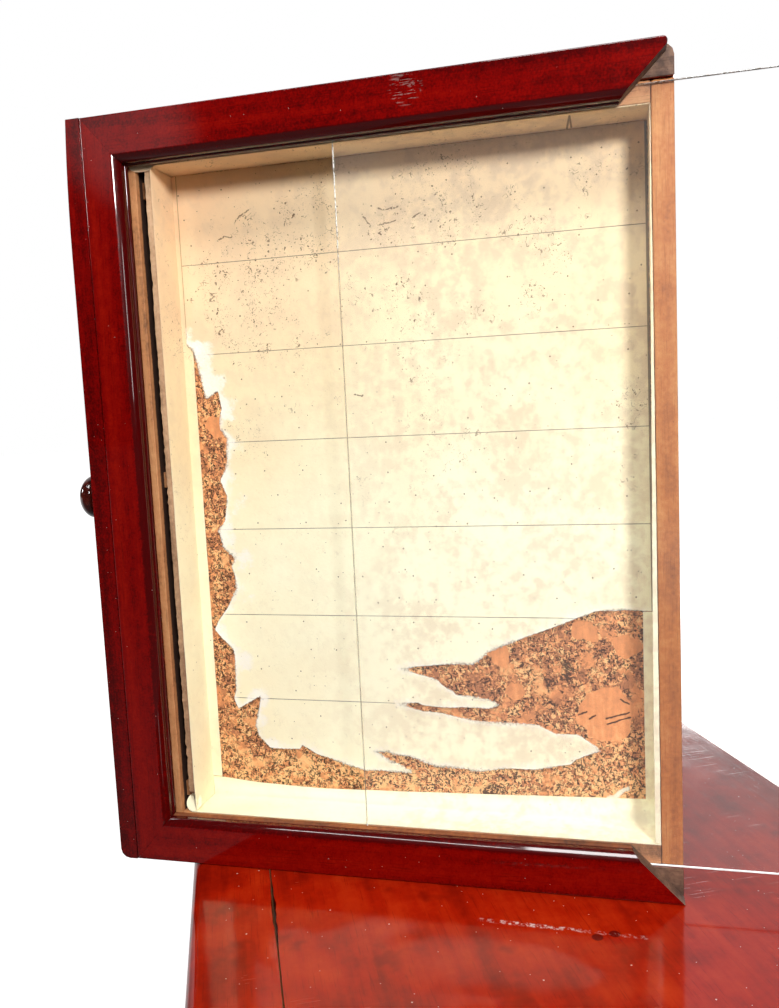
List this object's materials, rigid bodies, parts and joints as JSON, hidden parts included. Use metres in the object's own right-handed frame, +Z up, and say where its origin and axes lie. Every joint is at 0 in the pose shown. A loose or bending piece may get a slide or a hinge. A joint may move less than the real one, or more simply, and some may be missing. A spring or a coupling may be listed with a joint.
{
  "type": "collectors chest of drawers",
  "caption": "Low polished chest of shallow glazed specimen drawers; a drawer with a sliding glass pane and a torn paper lining over cork stands on its side on the top.",
  "frame": {"origin": "middle of the chest's underside, on the floor, midway across the case and midway between its front and its back", "axes": "+Z up, +X along the chest's width, -Y out of the chest's front, the way its drawers open"},
  "size_m": [0.5594, 0.4768, 0.7883],
  "materials": {
    "polished_wood": "deep red stained wood under a glossy polish",
    "top_wood": "orange red stained wood under a glossy polish",
    "knob_wood": "dark turned wood, polished",
    "bare_wood": "bare planed softwood, aged",
    "cork": "pressed granulated cork, bare",
    "lining_paper": "aged cream lining paper, matt",
    "pane_glass": "clear sheet glass"
  },
  "bodies": {
    "chest": {"base_board": "polished_wood", "left_panel": "polished_wood", "right_panel": "polished_wood", "back_panel": "bare_wood", "divider_1": "bare_wood", "divider_2": "bare_wood", "divider_3": "bare_wood", "divider_4": "bare_wood", "top_front_strip": "top_wood", "top_board": "top_wood"},
    "drawer_1": {"drawer_1_front_board": "polished_wood", "drawer_1_tray": "bare_wood", "drawer_1_lining": "lining_paper", "drawer_1_rails": "polished_wood", "drawer_1_pane": "pane_glass", "drawer_1_knob": "knob_wood"},
    "drawer_2": {"drawer_2_front_board": "polished_wood", "drawer_2_tray": "bare_wood", "drawer_2_lining": "lining_paper", "drawer_2_rails": "polished_wood", "drawer_2_pane": "pane_glass", "drawer_2_knob": "knob_wood"},
    "drawer_3": {"drawer_3_front_board": "polished_wood", "drawer_3_tray": "bare_wood", "drawer_3_lining": "lining_paper", "drawer_3_rails": "polished_wood", "drawer_3_pane": "pane_glass", "drawer_3_knob": "knob_wood"},
    "drawer_4": {"drawer_4_front_board": "polished_wood", "drawer_4_tray": "bare_wood", "drawer_4_lining": "lining_paper", "drawer_4_rails": "polished_wood", "drawer_4_pane": "pane_glass", "drawer_4_knob": "knob_wood"},
    "loose_drawer": {"front_board": "polished_wood", "front_rail": "polished_wood", "left_rail": "polished_wood", "right_rail": "polished_wood", "left_side": "polished_wood", "right_side": "polished_wood", "left_ledge": "bare_wood", "right_ledge": "bare_wood", "front_ledge": "bare_wood", "back_board": "bare_wood", "bottom_board": "bare_wood", "cell_partition": "bare_wood", "cell_block_1": "bare_wood", "cell_block_2": "bare_wood", "cell_block_3": "bare_wood", "cork_sheet": "cork", "left_wall_paper": "lining_paper", "right_wall_paper": "lining_paper", "front_wall_paper": "lining_paper", "back_wall_paper": "lining_paper", "floor_paper": "lining_paper", "knob": "knob_wood"},
    "loose_pane": {"pane": "pane_glass", "pane_rail": "polished_wood"}
  },
  "joints": [
    {"name": "drawer_1_slide", "type": "slide", "parent": "chest", "child": "drawer_1", "axis": [0, -1, 0], "range_m": [0, 0.3]},
    {"name": "drawer_2_slide", "type": "slide", "parent": "chest", "child": "drawer_2", "axis": [0, -1, 0], "range_m": [0, 0.3]},
    {"name": "drawer_3_slide", "type": "slide", "parent": "chest", "child": "drawer_3", "axis": [0, -1, 0], "range_m": [0, 0.3]},
    {"name": "drawer_4_slide", "type": "slide", "parent": "chest", "child": "drawer_4", "axis": [0, -1, 0], "range_m": [0, 0.3]},
    {"name": "loose_drawer_lift", "type": "slide", "parent": "chest", "child": "loose_drawer", "axis": [0, 0, 1], "range_m": [0, 0.12]},
    {"name": "pane_slide", "type": "slide", "parent": "loose_drawer", "child": "loose_pane", "axis": [0.4131, 0.9107, 0], "range_m": [-0.1402, 0.165]}
  ]
}
